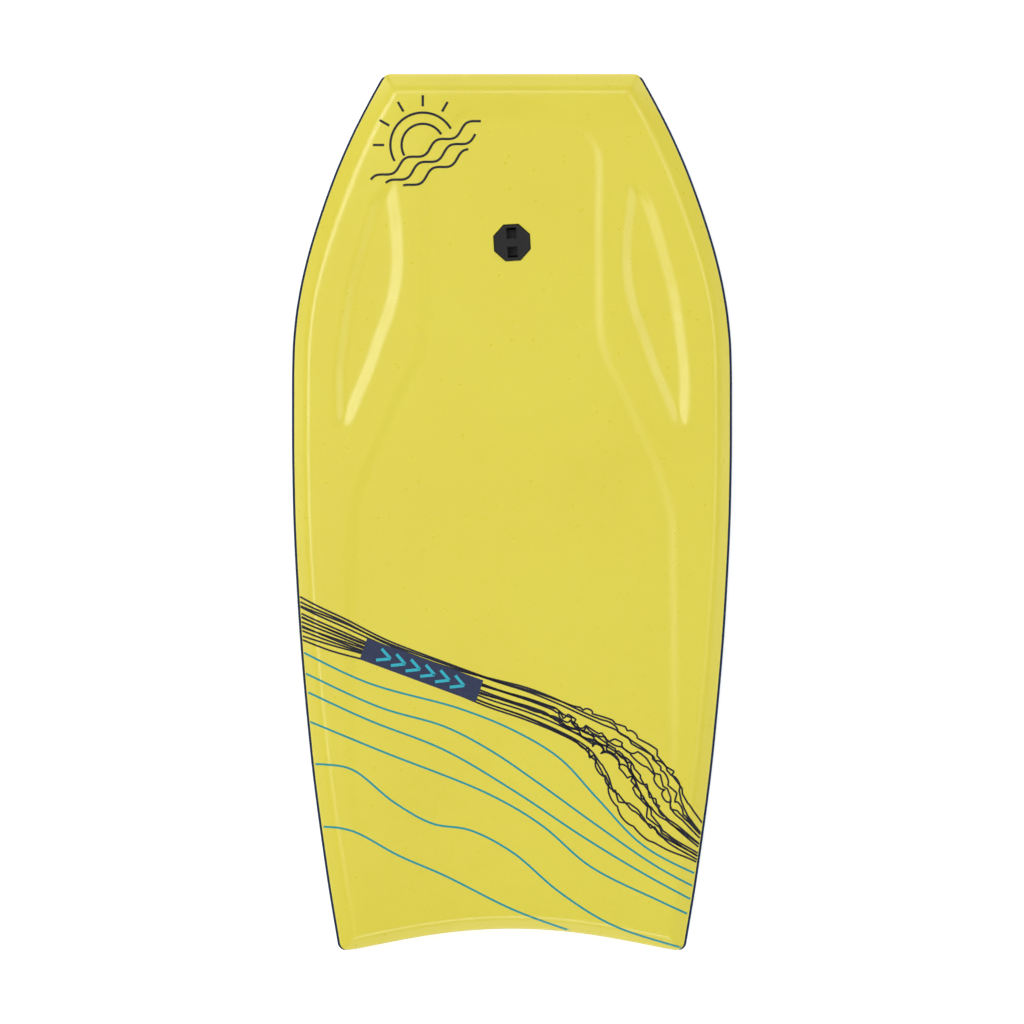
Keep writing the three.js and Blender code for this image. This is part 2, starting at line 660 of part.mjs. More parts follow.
function plugWasher() {
  const inner = STUD_R + STUD_CLEAR;
  const low = PLUG.washerTop - WASHER;
  return turned([
    [inner, low], [WASHER_R - WASHER_EDGE, low], [WASHER_R, low + WASHER_EDGE],
    [WASHER_R, PLUG.washerTop], [inner, PLUG.washerTop], [inner, low],
  ]);
}

// ---- Assembly ----

const whiteFoam = { color: 0xf2f0e6, roughness: 0.85, metalness: 0 };
const yellowFoam = { color: 0xe3da5f, roughness: 0.62, metalness: 0 };
const navyFoam = { color: 0x1f3c60, roughness: 0.55, metalness: 0 };
const blackNet = { color: 0x10131c, roughness: 0.7, metalness: 0 };
const blueFilm = { color: 0x2a4284, roughness: 0.3, metalness: 0 };
const darkPlastic = { color: 0x2c2a30, roughness: 0.4, metalness: 0 };
const greyPlastic = { color: 0x55575c, roughness: 0.5, metalness: 0 };
const pieces = [
  ['core', core(), whiteFoam],
  ['deck_skin', deckSkin(), yellowFoam],
  ['bottom_net', bottomNet(), blackNet],
  ['slick_skin', slickSkin(), blueFilm],
  ['rail_left', rail(-1), navyFoam],
  ['rail_right', rail(1), navyFoam],
  ['nose_bumper', noseBumper(), yellowFoam],
  ['tail_bumper', tailBumper(), yellowFoam],
  ['plug_cap', plugCap(), darkPlastic],
  ['plug_screw', plugScrew(), darkPlastic],
  ['plug_washer', plugWasher(), greyPlastic],
];

const board = new THREE.Group();
pieces.forEach(([name, geometry, look]) => {
  const mesh = new THREE.Mesh(geometry, new THREE.MeshStandardMaterial(look));
  mesh.name = name;
  board.add(mesh);
});

export default board;
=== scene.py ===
"""Looks for a foam bodyboard lying on its slick, deck up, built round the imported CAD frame.
Lengths inside the shape functions are millimetres; meshes are made in metres."""

import math

import bpy
import numpy as np
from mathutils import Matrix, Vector


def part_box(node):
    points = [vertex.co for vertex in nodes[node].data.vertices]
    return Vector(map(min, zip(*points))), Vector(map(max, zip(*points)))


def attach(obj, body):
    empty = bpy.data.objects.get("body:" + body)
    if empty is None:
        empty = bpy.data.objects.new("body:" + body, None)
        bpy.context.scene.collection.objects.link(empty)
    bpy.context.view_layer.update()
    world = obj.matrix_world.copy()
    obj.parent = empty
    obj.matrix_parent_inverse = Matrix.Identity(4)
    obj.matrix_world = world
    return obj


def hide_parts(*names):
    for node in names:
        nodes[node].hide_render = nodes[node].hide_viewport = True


MM = 0.001

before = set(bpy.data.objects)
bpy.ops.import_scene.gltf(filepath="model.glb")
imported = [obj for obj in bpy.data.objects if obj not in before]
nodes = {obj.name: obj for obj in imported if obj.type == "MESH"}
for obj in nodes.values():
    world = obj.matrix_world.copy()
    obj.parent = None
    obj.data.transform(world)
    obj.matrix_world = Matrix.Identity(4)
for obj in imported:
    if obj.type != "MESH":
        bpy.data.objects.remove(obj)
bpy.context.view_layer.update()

# ---- Camera: straight down on the deck, nose at the top ----
FRAME_WIDTH = 1.2165
CAMERA_HEIGHT = 3.0
scene = bpy.context.scene
camera_data = bpy.data.cameras.new("camera")
camera_data.type = "ORTHO"
camera_data.ortho_scale = FRAME_WIDTH
camera = bpy.data.objects.new("camera", camera_data)
scene.collection.objects.link(camera)
camera.location = (0, 0, CAMERA_HEIGHT)
scene.camera = camera

# ---- Sizes ----
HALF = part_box("nose_bumper")[1][1] / MM
WIDTH = 2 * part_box("rail_right")[1][0] / MM
DECK_HEIGHT = 58.8
NOSE_RISE = 0.757 * DECK_HEIGHT
NOSE_LIFT = 0.2925 * DECK_HEIGHT
TAIL_RISE = 0.0714 * DECK_HEIGHT
TAIL_DROP = 0.0561 * DECK_HEIGHT
SEAM_HEIGHT = 0.7245 * DECK_HEIGHT
SEAM_LIFT = 0.2211 * DECK_HEIGHT
CRESCENT_DEPTH = 25.5
CRESCENT_HALF = 196 / 523
GAP = 0.3
SKIN = 6
SKIN_RIM = 8
RAIL_LIP = 2.4
END_LIP = 0.5
RAIL_LEAN = 0.367
SLICK = 1.5
SLICK_NOSE = 3.9
SLICK_TAIL = 3.0
BEVEL_SIDE = 0.272 * DECK_HEIGHT
BEVEL_NOSE = 0.323 * DECK_HEIGHT
BEVEL_TAIL = 0.2126 * DECK_HEIGHT
BEVEL_SOFT = 0.16
CREST_SOFT = 0.3
BEVEL_SHARE = [(-1, 1.12), (-0.5, 1.0), (0.1, 0.9), (0.45, 0.95), (0.77, 1.25), (1, 1.3)]
CORNER = 8
CENTRE_DEPTH = 1.4
WELL_DEPTH = 3.2
CENTRE_SOFT = 7
WELL_SOFT = 8
PLUG_LOW, PLUG_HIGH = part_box("plug_cap")
PLUG_Y = (PLUG_LOW[1] + PLUG_HIGH[1]) / 2 / MM
WASHER_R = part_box("plug_washer")[1][0] / MM
DIMPLE_DEPTH = 3
PLUG_FLATS = 43.5
STUD_SHARE = 0.184
PITCH = 3.0
THREAD_RISE = 0.3
SLOT_FLOOR = 1.0
PLUG_TURN = math.radians(3.5)
FLANGE = 4
BARREL_SHARE = 0.4667
SKIN_INSET = 0.4
STUD_ROOM = 0.7
ROLL_RISE = 1.2
ROLL_RUN = 0.5
# Where the centre recess fades out: middle and half-length, as stations.
CENTRE_NOSE_FADE = (0.925, 0.03)
CENTRE_TAIL_FADE = (-0.62, 0.3)
# Heights that the cuts for the plug run between.
BARREL_CUT = (30, 80)
STUD_CUT = (-5, 40)
ABOVE_DECK = 90
# Angles, in degrees, past which an edge is drawn sharp.
SHARP = 35
SHARP_BAND = 50
SHARP_FINE = 60

PLAN = [
    (-1, 0.787), (-0.82, 0.8455), (-0.54, 0.9185), (-0.2, 0.9755), (0.03, 0.996), (0.18, 1),
    (0.29, 1), (0.37, 0.997), (0.438, 0.986), (0.506, 0.965), (0.575, 0.934), (0.643, 0.895),
    (0.76, 0.814), (0.85, 0.738), (0.916, 0.673), (0.9875, 0.5955), (1, 0.581),
]
ROCKER = [
    (-0.2, 0), (0.08, 0), (0.22, 0.045), (0.39, 0.1), (0.51, 0.155), (0.615, 0.222),
    (0.69, 0.29), (0.755, 0.365), (0.81, 0.47), (0.895, 0.69), (0.95, 0.83), (1, 1),
]
TAIL_ROCKER = [(-1, 1), (-0.92, 0.62), (-0.84, 0.28), (-0.76, 0)]
DECK_LIFT = [
    (-0.63, 0), (-0.2, 0.03), (0.05, 0.09), (0.22, 0.19), (0.46, 0.33), (0.59, 0.45),
    (0.72, 0.57), (0.8, 0.65), (0.88, 0.73), (0.94, 0.93), (0.975, 1), (1, 0.98),
]
DECK_TAIL = [(-1, 1), (-0.965, 0.7), (-0.92, 0.32), (-0.86, 0.06), (-0.8, 0)]
SEAM = [
    (-0.8, 0), (-0.2, 0.045), (-0.03, 0.1), (0.26, 0.28), (0.36, 0.35), (0.49, 0.515),
    (0.615, 0.66), (0.72, 0.82), (0.8, 0.945), (0.935, 1.04), (1, 0.98),
]
CENTRE_LINE = [
    (-1, 0.63), (-0.8, 0.7), (-0.54, 0.765), (-0.04, 0.757), (0.087, 0.696), (0.175, 0.62),
    (0.28, 0.53), (0.35, 0.459), (0.436, 0.424), (0.68, 0.42), (0.77, 0.424), (0.815, 0.42),
    (0.857, 0.377), (0.895, 0.287), (0.947, 0.176),
]
WELL_INNER = [
    (0.188, 0.772), (0.204, 0.73), (0.269, 0.67), (0.335, 0.615), (0.392, 0.577), (0.435, 0.545),
    (0.475, 0.519), (0.52, 0.5), (0.576, 0.49), (0.64, 0.495), (0.7, 0.51), (0.767, 0.53),
]
WELL_OUTER = [
    (0.188, 0.772), (0.209, 0.807), (0.298, 0.8145), (0.4, 0.795), (0.507, 0.761), (0.576, 0.725),
    (0.66, 0.677), (0.711, 0.642), (0.767, 0.55),
]


# ---- Shape functions, on arrays ----


def along(points, s):
    """Smooth value along a line of (station, value) points, flat between equal values."""
    xs, ys = np.array(points, float).T
    s = np.clip(np.asarray(s, float), xs[0], xs[-1])
    step = np.diff(xs)
    rise = np.diff(ys) / step
    slope = np.empty_like(ys)
    slope[0], slope[-1] = rise[0], rise[-1]
    before, after = rise[:-1], rise[1:]
    same = before * after > 0
    total = np.where(same, before + after, 1)
    slope[1:-1] = np.where(same, 2 * before * after / total, 0)
    i = np.clip(np.searchsorted(xs, s) - 1, 0, len(step) - 1)
    t = (s - xs[i]) / step[i]
    ease = t * t * (3 - 2 * t)
    bulge = slope[i] * step[i] * t * (1 - t) ** 2 - slope[i + 1] * step[i] * t * t * (1 - t)
    return ys[i] + (ys[i + 1] - ys[i]) * ease + bulge


def smooth(value, low, high):
    t = np.clip((value - low) / (high - low), 0, 1)
    return t * t * (3 - 2 * t)


def soft_step(value, middle, half):
    return smooth(value, middle - half, middle + half)


def side_x(y):
    return WIDTH / 2 * along(PLAN, y / HALF)


def corner_cut(distance, radius):
    out = radius - np.clip(distance, 0, radius)
    return radius - np.sqrt(radius * radius - out * out)


def edge_x(y):
    return side_x(y) - corner_cut(HALF - y, CORNER) - corner_cut(y + HALF, CORNER)


def tail_y(x):
    t = np.clip(np.abs(x) / (CRESCENT_HALF * WIDTH), 0, 1)
    return -HALF + CRESCENT_DEPTH * (1 - t * t) ** 1.25


def rocker(y):
    return NOSE_RISE * along(ROCKER, y / HALF) + TAIL_RISE * along(TAIL_ROCKER, y / HALF)


def seam_z(y):
    return SEAM_HEIGHT + SEAM_LIFT * along(SEAM, y / HALF)


def deck_line(y):
    lift = NOSE_LIFT * along(DECK_LIFT, y / HALF)
    return DECK_HEIGHT + lift - TAIL_DROP * along(DECK_TAIL, y / HALF)


def lean(y):
    return RAIL_LEAN * (seam_z(y) - rocker(y))


def bottom_z(x, y):
    r = np.hypot(x, y - PLUG_Y)
    dimple = 1 - smooth(r, WASHER_R + 1, 2 * WASHER_R)
    level = float(rocker(PLUG_Y)) + DIMPLE_DEPTH
    return rocker(y) + (level - rocker(y)) * dimple


def edge_share(x, y, step, wide=1.0):
    side = (side_x(y) - RAIL_LIP - step - np.abs(x)) / (BEVEL_SIDE * wide)
    nose = (HALF - END_LIP - step - y) / BEVEL_NOSE
    tail = (y - tail_y(x) - END_LIP - step) / BEVEL_TAIL
    return np.minimum(np.minimum(side, nose), tail)


def crest(q, soft=BEVEL_SOFT):
    t = np.clip(q, 1 - soft, 1 + soft) - 1 - soft
    return np.where(q <= 1 - soft, np.maximum(q, 0), 1 - t * t / (4 * soft))


def relief(x, y):
    s = y / HALF
    across = np.abs(x)
    centre = WIDTH / 2 * along(CENTRE_LINE, s)
    ends = (1 - soft_step(s, *CENTRE_NOSE_FADE)) * soft_step(s, *CENTRE_TAIL_FADE)
    inside = 1 - soft_step(across, centre - CENTRE_SOFT, CENTRE_SOFT)
    inner = WIDTH / 2 * along(WELL_INNER, s)
    outer = WIDTH / 2 * along(WELL_OUTER, s)
    lens = soft_step(across, inner + WELL_SOFT, WELL_SOFT)
    rim = 1 - soft_step(across, outer - WELL_SOFT, WELL_SOFT)
    in_well = np.where((s > WELL_INNER[0][0]) & (s < WELL_INNER[-1][0]), lens * rim, 0)
    return CENTRE_DEPTH * inside * ends + WELL_DEPTH * in_well


def deck_z(x, y):
    seam = seam_z(y) + GAP / 2
    flat = deck_line(y) - relief(x, y)
    share = edge_share(x, y, 0, along(BEVEL_SHARE, y / HALF))
    full = np.maximum(share, 0)
    roll = ROLL_RISE * (1 - np.exp(-full * BEVEL_SIDE / ROLL_RUN)) * (1 - np.clip(share, 0, 1))
    return seam + (flat - seam) * crest(share, CREST_SOFT) + roll


def skin_under_z(x, y):
    seam = seam_z(y) + GAP / 2
    flat = deck_line(y) - SKIN
    shrink = (flat - seam) / (deck_line(y) - seam)
    return seam + (flat - seam) * crest(edge_share(x, y, SKIN_RIM) / shrink)


# ---- Meshes ----


def add_object(name, verts, faces, body="board", angle=SHARP):
    mesh = bpy.data.meshes.new(name)
    mesh.from_pydata((np.asarray(verts, float) * MM).tolist(), [], [tuple(f) for f in faces])
    mesh.validate()
    mesh.update()
    made = bpy.data.objects.new(name, mesh)
    scene.collection.objects.link(made)
    mesh.shade_smooth()
    mesh.set_sharp_from_angle(angle=math.radians(angle))
    if body:
        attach(made, body)
    return made


LATTICE_PASSES = 12


def lattice(half, columns, rows, height):
    """Points of a grid. columns are functions of the half-width, rows functions of x.
    Each needs the other, so both are worked out again until they settle."""
    x = np.zeros((len(rows), len(columns)))
    y = np.zeros_like(x)
    for _ in range(LATTICE_PASSES):
        y = np.array([row(x[k]) for k, row in enumerate(rows)])
        edge = half(y)
        x = np.array([column(edge[:, k]) for k, column in enumerate(columns)]).T
    return np.stack([x, y, height(x, y)], axis=-1)


def column_places(edges, spacing):
    """Columns at the given distances from the edge, then evenly to the middle."""
    inner = edges[-1]
    count = max(2, round((WIDTH / 2 - inner) / spacing))
    right = [lambda h, k=k: (h - inner) * k / count for k in range(1, count)]
    right += [lambda h, d=d: h - d for d in reversed(edges)]
    left = [lambda h, place=place: -place(h) for place in reversed(right)]
    return left + [lambda h: 0 * h] + right


def row_places(back_tail, back_nose, tail_lines, nose_lines, spacing):
    first, last = tail_lines[-1], nose_lines[-1]
    count = round(2 * HALF / spacing)
    end = HALF - back_nose - last
    rows = [lambda x, d=d: tail_y(x) + back_tail + d for d in tail_lines]
    for k in range(1, count):
        rows.append(
            lambda x, t=k / count: (tail_y(x) + back_tail + first) * (1 - t) + end * t
        )
    rows += [lambda x, d=d: 0 * x + HALF - back_nose - d for d in reversed(nose_lines)]
    return rows


def slab(lower, upper):
    """Verts and faces of the closed body between two lattices."""
    rows, columns = lower.shape[:2]
    low = np.arange(rows * columns).reshape(rows, columns)
    top = low + rows * columns

    def quads(a, b, c, d):
        return np.stack([a.ravel(), b.ravel(), c.ravel(), d.ravel()], axis=1)

    faces = np.concatenate([
        quads(top[:-1, :-1], top[:-1, 1:], top[1:, 1:], top[1:, :-1]),
        quads(low[:-1, :-1], low[1:, :-1], low[1:, 1:], low[:-1, 1:]),
        quads(low[:-1, -1], low[1:, -1], top[1:, -1], top[:-1, -1]),
        quads(low[1:, 0], low[:-1, 0], top[:-1, 0], top[1:, 0]),
        quads(low[-1, 1:], low[-1, :-1], top[-1, :-1], top[-1, 1:]),
        quads(low[0, :-1], low[0, 1:], top[0, 1:], top[0, :-1]),
    ])
    verts = np.concatenate([lower.reshape(-1, 3), upper.reshape(-1, 3)])
    return verts, faces.tolist()


def loft(loops):
    """Verts and faces through closed loops of equal length, with a cap at each end."""
    loops = np.asarray(loops, float)
    count, around = loops.shape[:2]
    index = np.arange(count * around).reshape(count, around)
    after = np.roll(index, -1, axis=1)
    faces = np.stack([index[:-1], after[:-1], after[1:], index[1:]], axis=-1).reshape(-1, 4)
    faces = faces.tolist()
    verts = loops.reshape(-1, 3)
    faces.append(index[0][::-1].tolist())
    faces.append(index[-1].tolist())
    return verts, faces


def prism(radius, low, high, sides, turn=0.0):
    angles = turn + np.arange(sides) * 2 * math.pi / sides
    ring = np.stack([radius * np.cos(angles), PLUG_Y + radius * np.sin(angles)], axis=1)
    loops = [np.column_stack([ring, np.full(sides, z)]) for z in (low, high)]
    return loft(loops)


def carve(made, *tools):
    """Cuts closed tools out of a closed mesh and drops the tools."""
    cutters = []
    for verts, faces in tools:
        cutter = add_object("cutter", verts, faces, body=None)
        cutters.append(cutter)
        modifier = made.modifiers.new("cut", "BOOLEAN")
        modifier.operation = "DIFFERENCE"
        modifier.solver = "MANIFOLD"
        modifier.object = cutter
    bpy.context.view_layer.update()
    graph = bpy.context.evaluated_depsgraph_get()
    whole = bpy.data.meshes.new_from_object(made.evaluated_get(graph), depsgraph=graph)
    made.modifiers.clear()
    old = made.data
    made.data = whole
    whole.name = made.name
    bpy.data.meshes.remove(old)
    for cutter in cutters:
        mesh = cutter.data
        bpy.data.objects.remove(cutter)
        bpy.data.meshes.remove(mesh)
    whole.shade_smooth()
    whole.set_sharp_from_angle(angle=math.radians(SHARP))


SIDE_LINES = [0, 0.3, 0.7, 1.2, 2, 3.2, 5, 7.5, 10, 12, 13.5, 15, 16.5, 18, 20, 23]
END_LINES = [0, 0.3, 0.7, 1.2, 2, 3.2, 5, 7.5, 9.5, 11, 12.5, 14, 16, 18, 20, 22, 25]
SPACING = 3.2
SLICK_LINES = [0, 0.5, 4]
SLICK_SPACING = 5


def deck():
    columns = column_places(SIDE_LINES, SPACING)
    rows = row_places(END_LIP, END_LIP, END_LINES, END_LINES, SPACING)

    def half(y):
        return edge_x(y) - RAIL_LIP - SKIN_INSET

    under = lattice(half, columns, rows, skin_under_z)
    top = under.copy()
    top[..., 2] = deck_z(top[..., 0], top[..., 1])
    made = add_object("deck_foam", *slab(under, top))
    flange_low = PLUG_HIGH[2] / MM - FLANGE - GAP
    octagon = PLUG_FLATS / 2 / math.cos(math.pi / 8) + GAP
    barrel = PLUG_FLATS * BARREL_SHARE + GAP
    carve(
        made,
        prism(octagon, flange_low, ABOVE_DECK, 8, math.pi / 8 + PLUG_TURN),
        prism(barrel, *BARREL_CUT, 64),
    )
    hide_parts("deck_skin")
    return made


def slick():
    columns = column_places(SLICK_LINES, SLICK_SPACING)
    rows = row_places(SLICK_TAIL, SLICK_NOSE, SLICK_LINES, SLICK_LINES, SLICK_SPACING)

    def half(y):
        return side_x(y) - lean(y)

    base = lattice(half, columns, rows, bottom_z)
    top = base.copy()
    top[..., 2] += SLICK
    made = add_object("slick_sheet", *slab(base, top))
    carve(made, prism(PLUG_FLATS * STUD_SHARE + STUD_ROOM, *STUD_CUT, 48))
    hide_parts("slick_skin")
    return made


# The rail's outer face: share of the way down, share of the way in.
RAIL_FACE = [
    (0.0, 0.32), (0.008, 0.14), (0.025, 0.04), (0.06, 0.0), (0.1, 0.0), (0.16, 0.03),
    (0.24, 0.08), (0.35, 0.16), (0.46, 0.27), (0.57, 0.39), (0.68, 0.52), (0.78, 0.66),
    (0.87, 0.8), (0.94, 0.905), (0.98, 0.97), (1.0, 1.03),
]
RAIL_TAIL_LINES = [0.3, 0.6, 1, 1.6, 2.5, 3.6, 5, 6.5, 8, 10, 14]
RAIL_NOSE_LINES = [14, 8, 5, 3, 1.5, 0]
RAIL_STEPS = 180
RAIL_CORNER = 7.0
RAIL_TOP_DROP = 0.25
LIP_STEPS = (1.3, 0.8)
LIP_PART = 0.05
FOOT_INSET = 1.5


def rail(side, name):
    end = HALF - SLICK_NOSE
    tail_steps = [-HALF + d for d in RAIL_TAIL_LINES]
    nose_steps = [end - d for d in RAIL_NOSE_LINES]
    middle = np.linspace(tail_steps[-1], nose_steps[0], RAIL_STEPS)[1:-1]
    loops = []
    for step, y in enumerate([*tail_steps, *middle, *nose_steps]):
        cut = float(corner_cut(y + HALF, RAIL_CORNER))
        top = float(seam_z(y)) - GAP / 2 - RAIL_TOP_DROP * cut
        foot = float(rocker(y)) + SLICK + GAP + cut
        edge = float(edge_x(y))
        inner = float(side_x(y)) - RAIL_LIP - SKIN_RIM
        inward = float(lean(y))
        points = [(inner, top), *[(edge - RAIL_LIP * share, top) for share in LIP_STEPS]]
        for down, share in RAIL_FACE:
            offset = RAIL_LIP * share if down < LIP_PART else inward * share
            points.append((edge - offset, top + (foot - top) * down))
        points += [(edge - inward - FOOT_INSET, foot), (inner - inward, foot)]
        # the rail's end follows the crescent where it leans in under the skin
        back = RAIL_TAIL_LINES[step] if step < len(RAIL_TAIL_LINES) else None
        ring = [
            (side * x, y if back is None else max(y, float(tail_y(x)) + back), z)
            for x, z in points
        ]
        loops.append(ring if side < 0 else ring[::-1])
    made = add_object(name, *loft(loops), angle=SHARP_BAND)
    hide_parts("rail_left" if side < 0 else "rail_right")
    return made


NOSE_COLUMNS = [0, 0.4, 1, 2, 4]
NOSE_SPACING = 8
NOSE_BLOCK_LINES = (6.5, 4.8)
NOSE_LIP_LINES = (3, 2.4, 1.8, 1.2, 0.7, 0.3, 0)
NOSE_LEAN = 0.5
NOSE_FOOT_ROUND = 1.8
NOSE_TOP_ROUND = 1.2
NOSE_TOP_DROP = 0.6


def nose_band():
    """The nose bumper: a block between the rails and a lip across their ends."""
    columns = column_places(NOSE_COLUMNS, NOSE_SPACING)
    depth = SKIN_RIM + END_LIP
    lip = SLICK_NOSE - GAP
    distances = [depth, *NOSE_BLOCK_LINES, lip, *NOSE_LIP_LINES]
    rows = [lambda x, d=d: 0 * x + HALF - d for d in distances]
    full = np.array([d <= lip for d in distances])

    def half(y):
        inner = side_x(y) - SKIN_RIM - RAIL_LIP - GAP - lean(y)
        return np.where(full[:, None], edge_x(y) - lean(y) * NOSE_LEAN, inner)

    def foot(x, y):
        inside = np.where(full[:, None], 0, SLICK + GAP)
        return rocker(y) + inside + corner_cut(HALF - y, NOSE_FOOT_ROUND)

    base = lattice(half, columns, rows, foot)
    top = base.copy()
    spread = 1 + lean(base[..., 1]) * NOSE_LEAN / half(base[..., 1])
    wide = np.where(full[:, None], spread, 1)
    top[..., 0] *= wide
    y = top[..., 1]
    top[..., 2] = seam_z(y) - GAP / 2 - NOSE_TOP_DROP * corner_cut(HALF - y, NOSE_TOP_ROUND)
    made = add_object("nose_foam", *slab(base, top), angle=SHARP_BAND)
    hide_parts("nose_bumper")
    return made


TAIL_COLUMNS = [0, 1, 3]
TAIL_SPACING = 5
TAIL_LINES = (0, 0.2, 0.6, 1.1, 1.8, 2.4, 3, 5)
TAIL_FOOT_ROUND = 3


def tail_band():
    """The tail bumper: a block between the rails that follows the crescent."""
    columns = column_places(TAIL_COLUMNS, TAIL_SPACING)
    distances = [*TAIL_LINES, SKIN_RIM + END_LIP]
    rows = [lambda x, d=d: tail_y(x) + d for d in distances]

    def half(y):
        return side_x(y) - SKIN_RIM - RAIL_LIP - GAP - lean(y)

    def foot(x, y):
        return rocker(y) + SLICK + GAP + corner_cut(y - tail_y(x), TAIL_FOOT_ROUND)

    base = lattice(half, columns, rows, foot)
    top = base.copy()
    top[..., 0] *= 1 + lean(base[..., 1]) / half(base[..., 1])
    top[..., 1] += tail_y(top[..., 0]) - tail_y(base[..., 0])
    top[..., 2] = seam_z(top[..., 1]) - GAP / 2
    made = add_object("tail_foam", *slab(base, top), angle=SHARP_BAND)
    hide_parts("tail_bumper")
    return made


THREAD_START = 5.5
THREAD_STOP = 1.5
THREAD_STEPS = 48
THREAD_SINK = 0.2
THREAD_HALF = 0.8
THREAD_END = 0.02


def helix():
    """The screw's thread: one closed ridge wound round the stud."""
    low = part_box("plug_screw")[0][2] / MM + THREAD_START
    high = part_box("plug_screw")[1][2] / MM - THREAD_STOP
    radius = PLUG_FLATS * STUD_SHARE
    steps = THREAD_STEPS
    count = round((high - low) / PITCH * steps)
    loops = []
    for k in range(count + 1):
        angle = -2 * math.pi * k / steps
        z = low + PITCH * k / steps
        tip = THREAD_RISE * min(1, k / steps, (count - k) / steps + THREAD_END)
        root = radius - THREAD_SINK
        ring = [(root, z - THREAD_HALF), (radius + tip, z), (root, z + THREAD_HALF)]
        loops.append([
            (r * math.cos(angle), PLUG_Y + r * math.sin(angle), h) for r, h in ring
        ])
    return loft(loops)


# ---- Prints: thin closed ribbons of ink that hug a surface ----

INK = 0.12
INK_UNDER = 0.25
INK_MARGIN = 0.6
LABEL_LIFT = 0.18
LABEL_SPACING = 3.0
MARK_LIFT = 0.1
CLOSEST = 1e-6


def spline(points, spacing=2.0):
    """Evenly spaced points of a smooth curve through the given ones (centripetal)."""
    p = np.asarray(points, float)
    if len(p) == 2:
        chord = np.hypot(*(p[1] - p[0]))
        t = np.linspace(0, 1, max(2, int(chord / spacing) + 1))[:, None]
        return p[0] * (1 - t) + p[1] * t
    p = np.vstack([2 * p[0] - p[1], p, 2 * p[-1] - p[-2]])
    out = []
    for a, b, c, d in zip(p[:-3], p[1:-2], p[2:-1], p[3:], strict=True):
        chords = [np.hypot(*(q - r)) for q, r in ((b, a), (c, b), (d, c))]
        ts = np.cumsum([0] + [max(chord, CLOSEST) ** 0.5 for chord in chords])
        steps = max(2, int(np.hypot(*(c - b)) / spacing))
        t = np.linspace(ts[1], ts[2], steps, endpoint=False)[:, None]
        ab = ((ts[1] - t) * a + t * b) / ts[1]
        bc = ((ts[2] - t) * b + (t - ts[1]) * c) / (ts[2] - ts[1])
        cd = ((ts[3] - t) * c + (t - ts[2]) * d) / (ts[3] - ts[2])
        abc = ((ts[2] - t) * ab + t * bc) / ts[2]
        bcd = ((ts[3] - t) * bc + (t - ts[1]) * cd) / (ts[3] - ts[1])
        out.append(((ts[2] - t) * abc + (t - ts[1]) * bcd) / (ts[2] - ts[1]))
    return np.vstack([*out, p[-2]])


def inside_deck(path):
    """The stretches of a path that lie on the deck."""
    x, y = path.T
    on = np.abs(x) < edge_x(y) - RAIL_LIP - INK_MARGIN
    on &= y > tail_y(x) + END_LIP + INK_MARGIN
    on &= y < HALF - END_LIP - INK_MARGIN
    return split_on(path, on)


def inside_slick(path):
    """The stretches of a path that lie on the slick."""
    x, y = path.T
    on = np.abs(x) < side_x(y) - lean(y) - INK_MARGIN
    on &= y > tail_y(x) + SLICK_TAIL + INK_MARGIN
    on &= y < HALF - SLICK_NOSE - INK_MARGIN
    return split_on(path, on)


def split_on(path, on):
    cuts = np.flatnonzero(np.diff(on.astype(int))) + 1
    parts = np.split(path, cuts)
    flags = np.split(on, cuts)
    return [part for part, flag in zip(parts, flags, strict=True) if flag[0] and len(part) > 1]


def ribbon(path, width, surface, out):
    """Verts and faces of one closed ribbon along a path. out is +1 on the deck, -1 below."""
    path = np.asarray(path, float)
    step = np.gradient(path, axis=0)
    step /= np.maximum(np.hypot(*step.T), 1e-9)[:, None]
    across = np.stack([-step[:, 1], step[:, 0]], axis=1) * (width / 2)
    left, right = path + across, path - across

    def at(points, lift):
        return np.column_stack([points, surface(*points.T) + out * lift])

    sides = [at(left, INK), at(right, INK), at(right, -INK_UNDER), at(left, -INK_UNDER)]
    loops = np.stack(sides, axis=1)
    return loft(loops if out > 0 else loops[:, ::-1])


def print_lines(name, stretches, width, surface, out):
    """One object of many closed ribbons."""
    verts, faces = [], []
    for path in stretches:
        made_verts, made_faces = ribbon(path, width, surface, out)
        faces += [[k + len(verts) for k in face] for face in made_faces]
        verts += made_verts.tolist()
    made = add_object(name, verts, faces, angle=SHARP_FINE)
    return made


def along_quad(corners, u, v):
    """Points at the shares u and v across a four-sided outline."""
    a, b, c, d = (np.array(p, float) for p in corners)
    return (a * (1 - u) + b * u) * (1 - v) + (d * (1 - u) + c * u) * v


def patch_sheet(corners, surface, out):
    """A closed thin sheet over a four-sided outline, given anticlockwise seen from above."""
    first, second, _, last = (np.array(p, float) for p in corners)
    wide = max(2, int(np.hypot(*(second - first)) / LABEL_SPACING))
    tall = max(2, int(np.hypot(*(last - first)) / LABEL_SPACING))
    u = np.linspace(0, 1, wide + 1)[None, :, None]
    v = np.linspace(0, 1, tall + 1)[:, None, None]
    flat = along_quad(corners, u, v)
    height = surface(flat[..., 0], flat[..., 1])
    upper = np.dstack([flat, height + out * LABEL_LIFT])
    lower = np.dstack([flat, height - out * INK_UNDER])
    return slab(lower, upper) if out > 0 else slab(upper, lower)


def over_label(x, y):
    return deck_z(x, y) + MARK_LIFT


def under_label(x, y):
    return bottom_z(x, y) - MARK_LIFT


